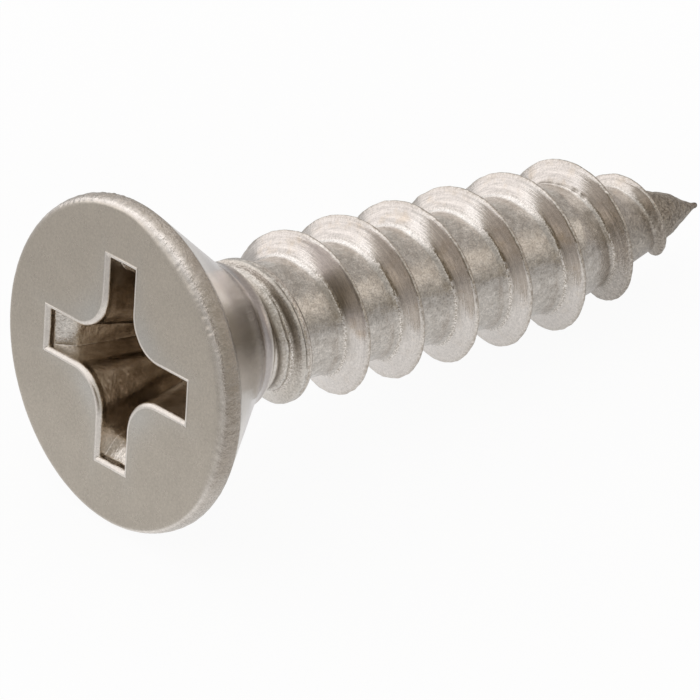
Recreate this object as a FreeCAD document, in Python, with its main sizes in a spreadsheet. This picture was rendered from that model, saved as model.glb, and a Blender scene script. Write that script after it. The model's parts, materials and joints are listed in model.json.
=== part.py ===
import FreeCAD, Part
import enum
import math
import os
import Sketcher

# A flat head wood screw with a cross recess, in millimetres and degrees.
# The blank is drawn with its axis on Z, the head's flat face at zero and the tip above it.
# At the end the whole screw is laid on its side, resting on the rim of its head and on one crest.

DRIVING_SIZES = [
    ("overall_length", 18.17, "flat face to the end of the tip"),
    ("head_diameter", 8.2, "widest part of the rim"),
    ("rim_bulge", 0.115, "how far the rim stands out past the flat face"),
    ("rim_crown", 0.36, "depth at which the rim is widest"),
    ("rim_land", 0.46, "depth at which the rim meets the countersink"),
    ("sink_angle", 82.0, "full angle of the countersink"),
    ("neck_fillet", 1.1, "radius between countersink and neck"),
    ("neck_diameter", 3.53, "plain neck under the head"),
    ("neck_length", 0.43, "from the corner under the countersink to the end of the neck"),
    ("neck_step", 0.2, "length of the step from the neck down to the core"),
    ("core_diameter", 3.02, "core between the turns of thread"),
    ("core_point", 4.67, "length of the core's taper, up to the tip"),
    ("nose_length", 0.85, "blunter end of that taper"),
    ("nose_diameter", 0.94, "core where the blunter end starts"),
    ("tip_radius", 0.075, "ball on the end of the point"),
    ("thread_pitch", 1.693, "one turn's advance, fifteen turns to the inch"),
    ("thread_lead", 1.215, "from the neck's end to a crest in line with a recess wing"),
    ("crest_diameter", 4.22, "over the crests near the head"),
    ("point_diameter", 4.04, "over the crests where the point starts"),
    ("ridge_emerging", 0.265, "how far before the neck's end the ridge leaves the neck"),
    ("ridge_growth", 2.55, "length in which the ridge reaches its full height"),
    ("ridge_point", 4.06, "length of the crests' taper, up to the tip"),
    ("ridge_runout", 0.97, "length of bare point past the end of the ridge"),
    ("crest_land", 0.115, "width of a full crest"),
    ("blunt_land", 0.5, "width of the first crest, which is only half rolled"),
    ("head_flank_angle", 25.0, "slope of the flank that faces the head"),
    ("tip_flank_angle", 17.0, "slope of the flank that faces the tip"),
    ("ridge_root", 0.12, "how far the ridge is sunk in the core"),
    ("wing_reach", 2.66, "axis to the end of a wing, at the face"),
    ("wing_width", 1.18, "width of a wing, at the face"),
    ("wing_corner", 0.92, "round between two wings, at the face"),
    ("mouth_bevel", 0.07, "bevel around the mouth, as deep as it is wide"),
    ("collar_height", 0.13, "upright wall between the bevel and the slopes"),
    ("shelf_height", 0.35, "sloping shelf at the end of a wing, under the collar"),
    ("shelf_draft_angle", 52.5, "slope of that shelf"),
    ("end_draft_angle", 18.0, "slope of a wing's end wall, under the shelf"),
    ("side_draft_angle", 4.6, "slope of a wing's side walls"),
    ("floor_depth", 2.2, "depth at which the end walls stop"),
    ("floor_corner", 0.5, "round between two wings, at that depth"),
    ("toe_height", 0.25, "from there down to the driver's blunt point"),
    ("toe_reach", 0.75, "axis to the end of a wing, at the blunt point"),
    ("toe_corner", 0.3, "round between two wings, at the blunt point"),
    ("pit_radius", 0.5, "small cone under the blunt point, at its wide end"),
    ("pit_tip", 0.15, "small cone, at its narrow end"),
    ("pit_height", 0.2, "height of the small cone"),
    ("lying_roll_angle", 6.0, "turn from a recess wing to the lowest line of the lying screw"),
]

DERIVED_SIZES = [
    ("head_radius", "head_diameter / 2"),
    ("face_radius", "head_radius - rim_bulge"),
    ("rim_radius", "(rim_bulge ^ 2 + rim_crown ^ 2) / (2 * rim_bulge)"),
    ("sink_top", "head_radius - rim_radius + sqrt(rim_radius ^ 2 - (rim_land - rim_crown) ^ 2)"),
    ("sink_slope", "90 + sink_angle / 2"),
    ("neck_radius", "neck_diameter / 2"),
    ("neck_corner", "rim_land + (sink_top - neck_radius) / tan(sink_angle / 2)"),
    ("neck_end", "neck_corner + neck_length"),
    ("core_radius", "core_diameter / 2"),
    ("core_start", "neck_end + neck_step"),
    ("core_end", "overall_length - core_point"),
    ("nose_radius", "nose_diameter / 2"),
    ("nose_start", "overall_length - nose_length"),
    ("first_crest", "neck_end + thread_lead"),
    ("ridge_start", "neck_end - ridge_emerging"),
    ("ridge_full", "ridge_start + ridge_growth"),
    ("point_start", "overall_length - ridge_point"),
    ("ridge_stop", "overall_length - ridge_runout"),
    ("mouth_half", "wing_width / 2"),
    ("throat_reach", "wing_reach - mouth_bevel"),
    ("throat_half", "mouth_half - mouth_bevel"),
    ("throat_corner", "wing_corner + mouth_bevel"),
    ("collar_depth", "mouth_bevel + collar_height"),
    ("shelf_depth", "collar_depth + shelf_height"),
    ("shelf_reach", "throat_reach - shelf_height * tan(shelf_draft_angle)"),
    ("shelf_half", "throat_half - shelf_height * tan(side_draft_angle)"),
    ("shelf_share", "shelf_height / (floor_depth - collar_depth)"),
    ("shelf_corner", "throat_corner - (throat_corner - floor_corner) * shelf_share"),
    ("floor_reach", "shelf_reach - (floor_depth - shelf_depth) * tan(end_draft_angle)"),
    ("floor_half", "throat_half - (floor_depth - collar_depth) * tan(side_draft_angle)"),
    ("toe_depth", "floor_depth + toe_height"),
    ("toe_half", "floor_half - toe_height * tan(side_draft_angle)"),
    ("pit_depth", "toe_depth + pit_height"),
]

# Each level of the recess: its name and the sizes of its depth, reach, half width and corner round.
RECESS_LEVELS = [
    ("mouth", None, "wing_reach", "mouth_half", "wing_corner"),
    ("throat", "mouth_bevel", "throat_reach", "throat_half", "throat_corner"),
    ("collar", "collar_depth", "throat_reach", "throat_half", "throat_corner"),
    ("shelf", "shelf_depth", "shelf_reach", "shelf_half", "shelf_corner"),
    ("floor", "floor_depth", "floor_reach", "floor_half", "floor_corner"),
    ("toe", "toe_depth", "toe_reach", "toe_half", "toe_corner"),
]
RIDGE_POINTS = 24


class Spot(enum.IntEnum):
    """The points of an edge, as a sketch counts them."""

    START = 1
    END = 2
    CENTRE = 3


class Axis(enum.IntEnum):
    """The two axes of a sketch, counted below its first edge."""

    X = -1
    Y = -2


ORIGIN = (Axis.X, Spot.START)


def make_sheet(doc):
    """Write the sizes into a sheet, one named cell each."""
    sheet = doc.addObject("Spreadsheet::Sheet", "sizes")
    cells = [(name, str(value), note) for name, value, note in DRIVING_SIZES]
    cells += [(name, "=" + formula, "worked out") for name, formula in DERIVED_SIZES]
    for row, (name, content, note) in enumerate(cells, start=1):
        sheet.set(f"A{row}", name)
        sheet.set(f"B{row}", content)
        sheet.set(f"C{row}", note)
        sheet.setAlias(f"B{row}", name)
    doc.recompute()
    return sheet


def origin_item(body, role):
    """Find one of a body's own origin planes or axes."""
    return next(item for item in body.Origin.OriginFeatures if item.Role == role)


class Outline:
    """A sketch on an origin plane of a body, with its dimensions tied to the sheet."""

    def __init__(self, body, name, plane, sheet):
        self.sketch = body.newObject("Sketcher::SketchObject", name)
        self.sketch.AttachmentSupport = (origin_item(body, plane), [""])
        self.sketch.MapMode = "FlatFace"
        self.sheet = sheet

    def line(self, start, end):
        ends = [FreeCAD.Vector(*point, 0) for point in (start, end)]
        return self.sketch.addGeometry(Part.LineSegment(*ends))

    def arc(self, centre, radius, first, last):
        circle = Part.Circle(FreeCAD.Vector(*centre, 0), FreeCAD.Vector(0, 0, 1), radius)
        return self.sketch.addGeometry(Part.ArcOfCircle(circle, first, last))

    def rule(self, kind, *where):
        return self.sketch.addConstraint(Sketcher.Constraint(kind, *where))

    def size(self, kind, alias, *where):
        index = self.rule(kind, *where, self.sheet.get(alias))
        name = f"{alias}_{index}"
        self.sketch.renameConstraint(index, name)
        self.sketch.setExpression(f"Constraints.{name}", f"sizes.{alias}")

    def slope(self, alias, edge):
        index = self.rule("Angle", edge, math.radians(self.sheet.get(alias)))
        self.sketch.renameConstraint(index, alias)
        self.sketch.setExpression(f"Constraints.{alias}", f"sizes.{alias}")


def draw_blank(body, sheet):
    """Half section of the blank: face, rim, countersink, neck, core and point."""
    get = sheet.get
    face, neck, core, ball = get("face_radius"), get("neck_radius"), get("core_radius"), get("tip_radius")
    rim_radius, land, fillet = get("rim_radius"), get("rim_land"), get("neck_fillet")
    rim_centre = (get("head_radius") - rim_radius, get("rim_crown"))
    rim_first = math.atan2(-rim_centre[1], face - rim_centre[0])
    rim_last = math.asin((land - rim_centre[1]) / rim_radius)
    half_sink = math.radians(get("sink_angle") / 2)
    hollow_centre = (neck + fillet, get("neck_corner") + fillet * math.tan(half_sink / 2))
    cone_foot = (hollow_centre[0] - fillet * math.cos(half_sink),
                 hollow_centre[1] - fillet * math.sin(half_sink))
    ball_centre = (0, get("overall_length") - ball)
    nose = (get("nose_radius"), get("nose_start"))
    nose_lean = math.atan2(nose[0] - ball, ball_centre[1] - nose[1])

    outline = Outline(body, "blank_outline", "XZ_Plane", sheet)
    flat = outline.line((0, 0), (face, 0))
    rim = outline.arc(rim_centre, rim_radius, rim_first, rim_last)
    cone = outline.line((get("sink_top"), land), cone_foot)
    hollow = outline.arc(hollow_centre, fillet, math.pi, math.pi + half_sink)
    plain = outline.line((neck, hollow_centre[1]), (neck, get("neck_end")))
    step = outline.line((neck, get("neck_end")), (core, get("core_start")))
    straight = outline.line((core, get("core_start")), (core, get("core_end")))
    taper = outline.line((core, get("core_end")), nose)
    blunt = outline.line(nose, (ball, ball_centre[1]))
    tip = outline.arc(ball_centre, ball, nose_lean, math.pi / 2)
    axis = outline.line((0, get("overall_length")), (0, 0))

    for one, other in ((flat, rim), (rim, cone), (plain, step), (step, straight), (straight, taper),
                       (taper, blunt), (tip, axis), (axis, flat)):
        outline.rule("Coincident", one, Spot.END, other, Spot.START)
    outline.rule("Tangent", cone, Spot.END, hollow, Spot.END)
    outline.rule("Tangent", hollow, Spot.START, plain, Spot.START)
    outline.rule("Tangent", blunt, Spot.END, tip, Spot.START)
    outline.rule("Coincident", flat, Spot.START, *ORIGIN)
    outline.rule("Horizontal", flat)
    for upright in (plain, straight, axis):
        outline.rule("Vertical", upright)
    outline.rule("PointOnObject", tip, Spot.CENTRE, Axis.Y)

    outline.size("DistanceX", "face_radius", *ORIGIN, flat, Spot.END)
    outline.size("DistanceY", "rim_crown", *ORIGIN, rim, Spot.CENTRE)
    outline.size("Radius", "rim_radius", rim)
    outline.size("DistanceY", "rim_land", *ORIGIN, rim, Spot.END)
    outline.slope("sink_slope", cone)
    outline.size("Radius", "neck_fillet", hollow)
    outline.size("DistanceX", "neck_radius", *ORIGIN, plain, Spot.END)
    outline.size("DistanceY", "neck_end", *ORIGIN, plain, Spot.END)
    outline.size("DistanceX", "core_radius", *ORIGIN, straight, Spot.START)
    outline.size("DistanceY", "core_start", *ORIGIN, straight, Spot.START)
    outline.size("DistanceY", "core_end", *ORIGIN, straight, Spot.END)
    outline.size("DistanceX", "nose_radius", *ORIGIN, blunt, Spot.START)
    outline.size("DistanceY", "nose_start", *ORIGIN, blunt, Spot.START)
    outline.size("Radius", "tip_radius", tip)
    outline.size("DistanceY", "overall_length", *ORIGIN, tip, Spot.END)
    return outline.sketch


def draw_wings(body, sheet, level):
    """One level of the recess: four equal wings with a round between each two of them."""
    name, depth, reach, half_width, corner = level
    outline = Outline(body, name, "XY_Plane", sheet)
    if depth:
        outline.sketch.setExpression("AttachmentOffset.Base.z", f"sizes.{depth}")
    far, half, rounding = sheet.get(reach), sheet.get(half_width), sheet.get(corner)
    inner = half + rounding
    firsts, ends, seconds, rounds = [], [], [], []
    for quarter in range(4):
        angle = quarter * math.pi / 2
        turned = [(x * math.cos(angle) - y * math.sin(angle), x * math.sin(angle) + y * math.cos(angle))
                  for x, y in ((inner, -half), (far, -half), (far, half), (inner, half), (inner, inner))]
        firsts.append(outline.line(turned[0], turned[1]))
        ends.append(outline.line(turned[1], turned[2]))
        seconds.append(outline.line(turned[2], turned[3]))
        rounds.append(outline.arc(turned[4], rounding, math.pi + angle, math.pi * 3 / 2 + angle))
    for quarter in range(4):
        outline.rule("Coincident", firsts[quarter], Spot.END, ends[quarter], Spot.START)
        outline.rule("Coincident", ends[quarter], Spot.END, seconds[quarter], Spot.START)
        outline.rule("Tangent", seconds[quarter], Spot.END, rounds[quarter], Spot.END)
        outline.rule("Tangent", rounds[quarter], Spot.START, firsts[(quarter + 1) % 4], Spot.START)
        mirror = Axis.X if quarter % 2 == 0 else Axis.Y
        outline.rule("Symmetric", ends[quarter], Spot.START, ends[quarter], Spot.END, mirror)
        along = "Horizontal" if quarter % 2 == 0 else "Vertical"
        outline.rule(along, firsts[quarter])
        outline.rule(along, seconds[quarter])
        outline.size("Radius", corner, rounds[quarter])
    outline.size("DistanceX", reach, *ORIGIN, ends[0], Spot.END)
    outline.size("DistanceY", reach, *ORIGIN, ends[1], Spot.START)
    outline.size("DistanceX", reach, ends[2], Spot.START, *ORIGIN)
    outline.size("DistanceY", reach, ends[3], Spot.START, *ORIGIN)
    outline.size("DistanceY", half_width, *ORIGIN, ends[0], Spot.END)
    outline.size("DistanceX", half_width, *ORIGIN, ends[1], Spot.START)
    outline.size("DistanceY", half_width, *ORIGIN, ends[2], Spot.START)
    outline.size("DistanceX", half_width, *ORIGIN, ends[3], Spot.END)
    return outline.sketch


def draw_pit(body, sheet):
    """Half section of the small cone under the driver's blunt point."""
    get = sheet.get
    outline = Outline(body, "pit_outline", "XZ_Plane", sheet)
    top = outline.line((0, get("toe_depth")), (get("pit_radius"), get("toe_depth")))
    wall = outline.line((get("pit_radius"), get("toe_depth")), (get("pit_tip"), get("pit_depth")))
    bottom = outline.line((get("pit_tip"), get("pit_depth")), (0, get("pit_depth")))
    axis = outline.line((0, get("pit_depth")), (0, get("toe_depth")))
    for one, other in ((top, wall), (wall, bottom), (bottom, axis), (axis, top)):
        outline.rule("Coincident", one, Spot.END, other, Spot.START)
    outline.rule("Horizontal", top)
    outline.rule("Horizontal", bottom)
    outline.rule("PointOnObject", top, Spot.START, Axis.Y)
    outline.rule("PointOnObject", bottom, Spot.END, Axis.Y)
    outline.size("DistanceX", "pit_radius", *ORIGIN, top, Spot.END)
    outline.size("DistanceY", "toe_depth", *ORIGIN, top, Spot.END)
    outline.size("DistanceX", "pit_tip", *ORIGIN, wall, Spot.END)
    outline.size("DistanceY", "pit_depth", *ORIGIN, wall, Spot.END)
    return outline.sketch


def make_blank(doc, sheet):
    """Turn the blank, then press the cross recess into its face."""
    body = doc.addObject("PartDesign::Body", "blank")
    turned = body.newObject("PartDesign::Revolution", "turned_blank")
    turned.Profile = draw_blank(body, sheet)
    turned.ReferenceAxis = (turned.Profile[0], ["V_Axis"])
    turned.Angle = 360
    doc.recompute()
    levels = [draw_wings(body, sheet, level) for level in RECESS_LEVELS]
    wings = body.newObject("PartDesign::SubtractiveLoft", "recess_wings")
    wings.Profile = levels[0]
    wings.Sections = levels[1:]
    wings.Ruled = True
    doc.recompute()
    pit = body.newObject("PartDesign::Groove", "recess_pit")
    pit.Profile = draw_pit(body, sheet)
    pit.ReferenceAxis = (pit.Profile[0], ["V_Axis"])
    pit.Angle = 360
    doc.recompute()
    return body


def blend(value, low, high):
    """Smooth step from 0 to 1 between two depths."""
    share = min(max((value - low) / (high - low), 0), 1)
    return share * share * (3 - 2 * share)


def crest_radius(depth, get):
    """Radius of the crest at a depth: it grows out of the neck, thins slightly and runs down the point."""
    crest, point = get("crest_diameter") / 2, get("point_diameter") / 2
    growth = blend(depth, get("ridge_start"), get("ridge_full"))
    along = (depth - get("ridge_full")) / (get("point_start") - get("ridge_full"))
    body = crest + (point - crest) * min(max(along, 0), 1)
    risen = get("neck_radius") - get("ridge_root") / 2
    risen += (body - risen) * growth
    beyond = max(depth - get("point_start"), 0) / (get("overall_length") - get("point_start"))
    return risen * (1 - beyond)


def core_radius(depth, get):
    """Radius of the core at a depth: even, then a taper, then the blunter end."""
    nose_start, core_end = get("nose_start"), get("core_end")
    if depth > nose_start:
        return get("nose_radius") * (get("overall_length") - depth) / get("nose_length")
    tapered = max(depth - core_end, 0) / (nose_start - core_end)
    return get("core_radius") + (get("nose_radius") - get("core_radius")) * tapered


def ridge_section(turn, get):
    """Four corners of the ridge, cut along the axis, a number of turns after the first crest."""
    depth = get("first_crest") + turn * get("thread_pitch")
    crest = crest_radius(depth, get)
    foot = core_radius(depth, get) - get("ridge_root")
    foot = min(max(foot, get("tip_radius")), crest - get("tip_radius"))
    growth = blend(depth, get("ridge_start"), get("ridge_full"))
    half_land = (get("blunt_land") + (get("crest_land") - get("blunt_land")) * growth) / 2
    head_run = half_land + (crest - foot) * math.tan(math.radians(get("head_flank_angle")))
    tip_run = half_land + (crest - foot) * math.tan(math.radians(get("tip_flank_angle")))
    corners = ((foot, -head_run), (crest, -half_land), (crest, half_land), (foot, tip_run))
    angle = 2 * math.pi * turn
    return [FreeCAD.Vector(radius * math.cos(angle), radius * math.sin(angle), depth + offset)
            for radius, offset in corners]


def ridge_length(first, last, get):
    """A solid stretch of the ridge between two turns, bounded by helical edges and two flat ends."""
    sections = [ridge_section(first + (last - first) * index / RIDGE_POINTS, get)
                for index in range(RIDGE_POINTS + 1)]
    helices = []
    for corner in range(4):
        helix = Part.BSplineCurve()
        helix.interpolate([section[corner] for section in sections])
        helices.append(helix)
    faces = [helices[corner].makeRuledSurface(helices[(corner + 1) % 4]).toShape() for corner in range(4)]
    for section in (sections[0], sections[-1]):
        faces.append(Part.Face(Part.makePolygon(section + section[:1])))
    shell = Part.makeShell(faces)
    shell.sewShape()
    solid = Part.makeSolid(shell)
    if solid.Volume < 0:
        solid.reverse()
    return solid


def make_thread(doc, sheet):
    """The thread's ridge, one object for each turn, from where it leaves the neck to where it runs out."""
    get = sheet.get
    first = (get("ridge_start") - get("first_crest")) / get("thread_pitch")
    last = (get("ridge_stop") - get("first_crest")) / get("thread_pitch")
    turns = []
    for index in range(math.ceil(last - first)):
        turn = doc.addObject("Part::Feature", f"thread_turn_{index + 1}")
        turn.Shape = ridge_length(first + index, min(first + index + 1, last), get)
        turns.append(turn)
    return turns


def lying_lean(get):
    """Angle by which the point hangs down when the rim and a crest both touch the ground."""
    rim_arm = get("head_radius") - get("rim_radius")
    lowest = get("first_crest") + get("thread_pitch") * get("lying_roll_angle") / 360
    leans = []
    while lowest < get("ridge_stop"):
        drop = rim_arm - crest_radius(lowest, get)
        span = lowest - get("rim_crown")
        leans.append(math.atan2(drop, span) + math.asin(get("rim_radius") / math.hypot(drop, span)))
        lowest += get("thread_pitch")
    return min(leans)


def lay_down(screw, sheet):
    """Lay the screw on its side, with its lowest point on the ground and its box centred over the origin."""
    lean = lying_lean(sheet.get)
    roll = FreeCAD.Rotation(FreeCAD.Vector(0, 0, 1), -sheet.get("lying_roll_angle"))
    tip_over = FreeCAD.Rotation(FreeCAD.Vector(0, 1, 0), 90 + math.degrees(lean))
    screw.Placement = FreeCAD.Placement(FreeCAD.Vector(), tip_over.multiply(roll))
    box = screw.Shape.optimalBoundingBox()
    screw.Placement.Base = FreeCAD.Vector(-box.Center.x, -box.Center.y, -box.ZMin)


def check_objects(doc):
    """Stop if any object of the document failed or has no good shape."""
    for item in doc.Objects:
        if "Invalid" in item.State or "Error" in item.State:
            raise RuntimeError(f"{item.Label} failed")
        shape = getattr(item, "Shape", None)
        if shape is not None and (shape.isNull() or not shape.isValid()):
            raise RuntimeError(f"{item.Label} has no good shape")


def main():
    doc = FreeCAD.newDocument("flat_head_wood_screw")
    sheet = make_sheet(doc)
    blank = make_blank(doc, sheet)
    turns = make_thread(doc, sheet)
    screw = doc.addObject("Part::MultiFuse", "wood_screw")
    screw.Shapes = [blank] + turns
    screw.Refine = True
    doc.recompute()
    lay_down(screw, sheet)
    doc.recompute()
    check_objects(doc)
    if len(screw.Shape.Solids) != 1:
        raise RuntimeError("the screw is not one solid")
    os.makedirs("parts", exist_ok=True)
    screw.Shape.exportStep(f"parts/{screw.Label}.step")
    print(screw.Label, "volume", round(screw.Shape.Volume, 3), "faces", len(screw.Shape.Faces))


main()
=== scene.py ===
import json
import math
from types import SimpleNamespace

import bmesh
import bpy
import numpy as np
from mathutils import Matrix, Vector


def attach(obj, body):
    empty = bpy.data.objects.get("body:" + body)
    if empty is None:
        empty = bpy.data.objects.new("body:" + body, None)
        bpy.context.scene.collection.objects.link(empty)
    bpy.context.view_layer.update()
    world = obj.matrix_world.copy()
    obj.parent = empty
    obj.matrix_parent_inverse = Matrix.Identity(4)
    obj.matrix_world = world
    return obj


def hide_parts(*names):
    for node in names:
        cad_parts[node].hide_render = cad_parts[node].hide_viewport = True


# A flat head wood screw. Sizes are in millimetres in the screw's own frame: depth runs along its axis from
# the flat face to the tip. Directions about the axis are in degrees from one wing of the recess.

LENGTH = 18.17
SEAM = 2.9  # depth at which the head's mesh ends and the shank's begins
LYING_ROLL = math.radians(6.0)  # from that wing to the lowest line of the lying screw

HEAD_RADIUS = 4.1
FACE_RADIUS = 3.985
RIM_CROWN = 0.36  # depth at which the rim is widest
RIM_LAND = 0.46  # depth at which the rim meets the countersink
RIM_BULGE = HEAD_RADIUS - FACE_RADIUS
RIM_ARC = (RIM_BULGE ** 2 + RIM_CROWN ** 2) / (2 * RIM_BULGE)
RIM_INSET = 0.006  # keeps the dented rim inside the plain one
FACE_DEPTH = 0.012  # the same for the swollen face
SINK_TOP = HEAD_RADIUS - 0.009  # radius at which the rim meets the countersink
HALF_SINK = math.radians(41)
SINK_SLOPE = math.tan(HALF_SINK)

# The rounded edge between face and rim starts further in on one side, where it is softer.
FLAT_RADIUS = 3.93
SOFT_EDGE = 0.19
EDGE_DEPTH = 0.13
EDGE_SLOPE = math.tan(math.radians(8))

# Waves of the face and the countersink, and the dents of tumbling on the rim.
FACE_SWELL = 0.014
FACE_WAVE = 0.004
SINK_WAVE = 0.008
RIM_WAVE = 0.008
DENT_DEPTH = 0.016
DENT_CHANGE = 0.006  # added and taken off by the slower wave
DENT_SHIFT = 0.4
DENT_LIMIT = 0.25

NECK_RADIUS = 1.765
NECK_FILLET = 1.1
NECK_EDGE = 3.33  # depth at which the neck steps down to the core

PITCH = 1.693
FIRST_CREST = 4.78  # depth of the first crest in line with the wing
CREST_RADIUS = 2.11
POINT_RADIUS = 2.02  # over the crests where the point starts
CREST_HALF = 0.05
BLUNT_HALF = 0.10  # added to it where the thread starts, only half rolled
RIDGE_START = 3.3
RIDGE_FULL = 5.85
RIDGE_SINK = 0.06  # how far under the neck's surface the ridge starts
POINT_START = LENGTH - 4.19
POINT_CURVE = 0.86  # power by which the crests run down to the tip
RIDGE_STOP = LENGTH - 1.1
RUNOUT_DROP = 0.35  # how far the ridge sinks there
LEAST_RIDGE = 0.05  # height of ridge for which the grid keeps rows
TIP_FLANK = math.tan(math.radians(17))
FLANK_MARGIN = 0.16  # rows kept beyond the hollow flank, for its round foot
CREST_ROUND = 0.012
FOOT_ROUND = 0.008
FOOT_SWELL = 0.06  # height of the round foot under the hollow flank
FOOT_REACH = 0.17  # its length along the axis
TIP_RADIUS = 0.066
TIP_END = LENGTH - 0.05

# Radius of the core at some distances from the end of the point, which is blunter than the taper.
POINT_PROFILE = ((0, 0.066), (0.1, 0.066), (0.16, 0.075), (0.35, 0.155), (0.6, 0.29), (0.85, 0.43),
                 (1.1, 0.54), (1.6, 0.69), (2.3, 0.89), (3.1, 1.12), (4.0, 1.36), (4.75, 1.51))
# The hollow flank that faces the head: its lean grows from the crest down to the foot.
FLANK_FALL = np.linspace(0, 1.2, 121)
FLANK_LEAN = np.radians(np.interp(FLANK_FALL, [0, 0.5, 0.7], [15, 34, 42]))
FLANK_RUN = np.concatenate([[0], np.cumsum(np.tan(FLANK_LEAN[:-1]) * np.diff(FLANK_FALL))])

# Turns of the thread, counted from that first crest, at which the marks of rolling rise and fade.
START_TURNS = (-0.75, -0.5, -0.14, -0.02)
GROOVE_TURNS = (-0.42, -0.38, -0.28, -0.22)
OVERLAP_TURNS = (-0.46, -0.42, -0.2, -0.15)
CREASE_TURNS = (4.9, 5.1, 5.9, 6.1)
WIDE_TURNS = (6.1, 6.5)
STAIN_TURN = -0.36
# Where the rough ridge of the half rolled start runs: turns, and its distance before the crest.
ROUGH_TURNS = (-0.53, -0.43, -0.38, -0.32, -0.25, -0.15)
ROUGH_PLACES = (0.25, 0.27, 0.32, 0.375, 0.365, 0.40)

# How far these marks stand out or go in, and how uneven some places are: the heights of a slow wave, of a
# finer one and of a grain.
RING_HEIGHT = 0.012
ROUGH_HEIGHT = 0.045
GROOVE_DEPTH = 0.04
SECOND_DEPTH = 0.07
OVERLAP_DEPTH = 0.02
LIP_HEIGHT = 0.014
CREASE_DEPTH = 0.03
UNEVEN = {
    "core": (0.010, 0.005, 0),
    "point": (0.016, 0.016, 0.008),
    "crest": (0, 0.012, 0.010),
    "ring": (0, 0.007, 0.006),
    "rough": (0, 0.026, 0.008),
    "crumbled": (0, 0.008, 0.004),
}

# Directions about the axis.
TOP = 155  # the side that lies uppermost
PAINTED_SHEEN = 200  # where a painted highlight lies on the hollow flanks
SHADED = 257  # where painted shade darkens their feet and the neck
RIM_HIGHLIGHT = -33  # where the whole rim gets a painted highlight
SHADED_RIM = -88  # where the rim gets painted shade and its edge no highlight
SOFT = -115  # where its edge is softer
HAMMERED = -140  # where it has the deepest dents
# Painted highlights on the edge of the rim: direction, cosines between which it grows, strength.
EDGE_HIGHLIGHTS = ((185, -0.2, 0.5, 0.5), (188, 0.75, 0.95, 0.3), (41, 0.6, 0.95, 0.35))
LEAST_WEAR = 0.22

# The recess under its bevelled mouth: reach and half width of a wing, round between two wings, and depths.
WING_REACH = 2.555
WING_HALF = 0.485
WING_CORNER = 1.025
MOUTH_BEVEL = 0.12
WALL_TOP = 0.23
FLOOR_DEPTH = 2.2
FLOOR_CORNER = 0.5
TOE_HEIGHT = 0.25
TOE_REACH = 0.75
PIT_HEIGHT = 0.2
WING_SIDE = math.tan(math.radians(4.6))
MOUTH_RAGGED = 0.012
# Reach of a wing at some depths: upright collar, sloping shelf, end wall.
WING_DEPTHS = (WALL_TOP, 0.27, 0.5, 0.58, FLOOR_DEPTH)
WING_REACHES = (WING_REACH, 2.53, 2.22, 2.13, 1.6)
# How far the recess was struck off the axis, and in which direction.
OFF_CENTRE = 0.045
OFF_DIRECTION = math.radians(-165)

# Points of the meshes: on half a wing's end, a wing's side and a round between two, around the rim and the
# shank, and along the axis from one crest to the next.
END_POINTS = 22
SIDE_POINTS = 42
ROUND_POINTS = 52
RIM_COLUMNS = 4 * (2 * END_POINTS + 2 * SIDE_POINTS + ROUND_POINTS)
SHANK_COLUMNS = 240
ROW_COUNTS = (3, 9, 20, 28, 3)  # crest, flank towards the tip, root, flank towards the head, next crest
PIECE_CUT = 3.1667  # turn at which the shank is cut into two pieces
WELD = 0.0008  # points closer than this become one
SLIVER = 0.0002  # edges shorter than this go

# Zones are strengths from 0 to 1 on the points of a mesh, by which the material changes.
ZONES = ("crest", "root", "flank", "streaky", "shade_behind_crest", "foot", "painted_highlight", "shaded_groove", "rough", "start", "wear_and_painted_light",
         "stain", "neck", "tip", "rim", "edge", "recess", "end", "face", "pressed")
HEAD_ZONES = ("face", "rim", "edge", "stain", "recess", "end", "pressed")

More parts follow.
